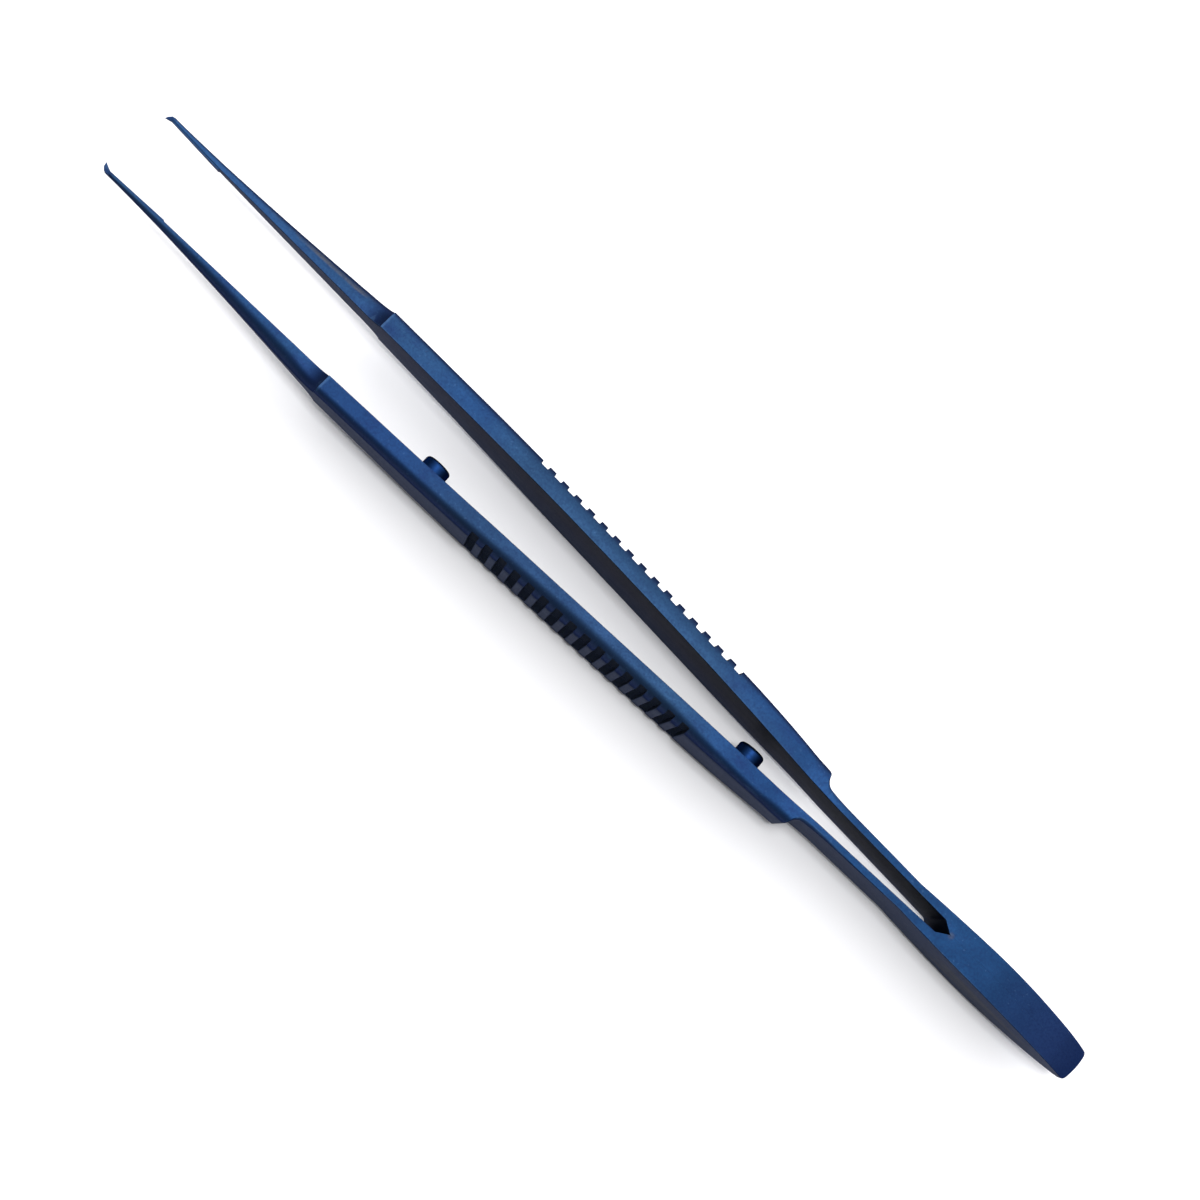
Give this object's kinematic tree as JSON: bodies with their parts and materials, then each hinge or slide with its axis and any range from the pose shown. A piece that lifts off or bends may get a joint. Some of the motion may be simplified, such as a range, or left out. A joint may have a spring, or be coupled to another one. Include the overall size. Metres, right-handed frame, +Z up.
{
  "type": "suturing forceps",
  "caption": "Fine toothed suturing forceps: two sprung arms welded at the tail, flat grooved grip, tapered shanks, tying platforms and stop pins.",
  "frame": {"origin": "under the middle of the bounding box, on the surface that the forceps lie on", "axes": "+X from the tail to the tips, +Y towards the arm that carries the stop pins, +Z up across the width of the grip"},
  "size_m": [0.11, 0.0096, 0.0088],
  "materials": {
    "anodised_titanium": "satin blue anodised titanium, bead blasted",
    "pin_titanium": "turned, dark blue anodised titanium"
  },
  "bodies": {
    "tail": {"pin_side_tail_half": "anodised_titanium", "plain_tail_half": "anodised_titanium"},
    "pin_side": {"pin_side_arm": "anodised_titanium", "rear_stop_pin": "pin_titanium", "front_stop_pin": "pin_titanium"},
    "plain_side": {"plain_arm": "anodised_titanium"}
  },
  "joints": [
    {"name": "pin_side_squeeze", "type": "hinge", "parent": "tail", "child": "pin_side", "pos_m": [-0.03145, 0.00115, 0.00442], "axis": [0, 0, -1], "range_deg": [0, 2.2], "stiffness_Nm_per_rad": 1},
    {"name": "plain_side_squeeze", "type": "hinge", "parent": "tail", "child": "plain_side", "pos_m": [-0.03145, -0.00115, 0.00442], "axis": [0, 0, 1], "range_deg": [0, 2.2], "stiffness_Nm_per_rad": 1}
  ]
}
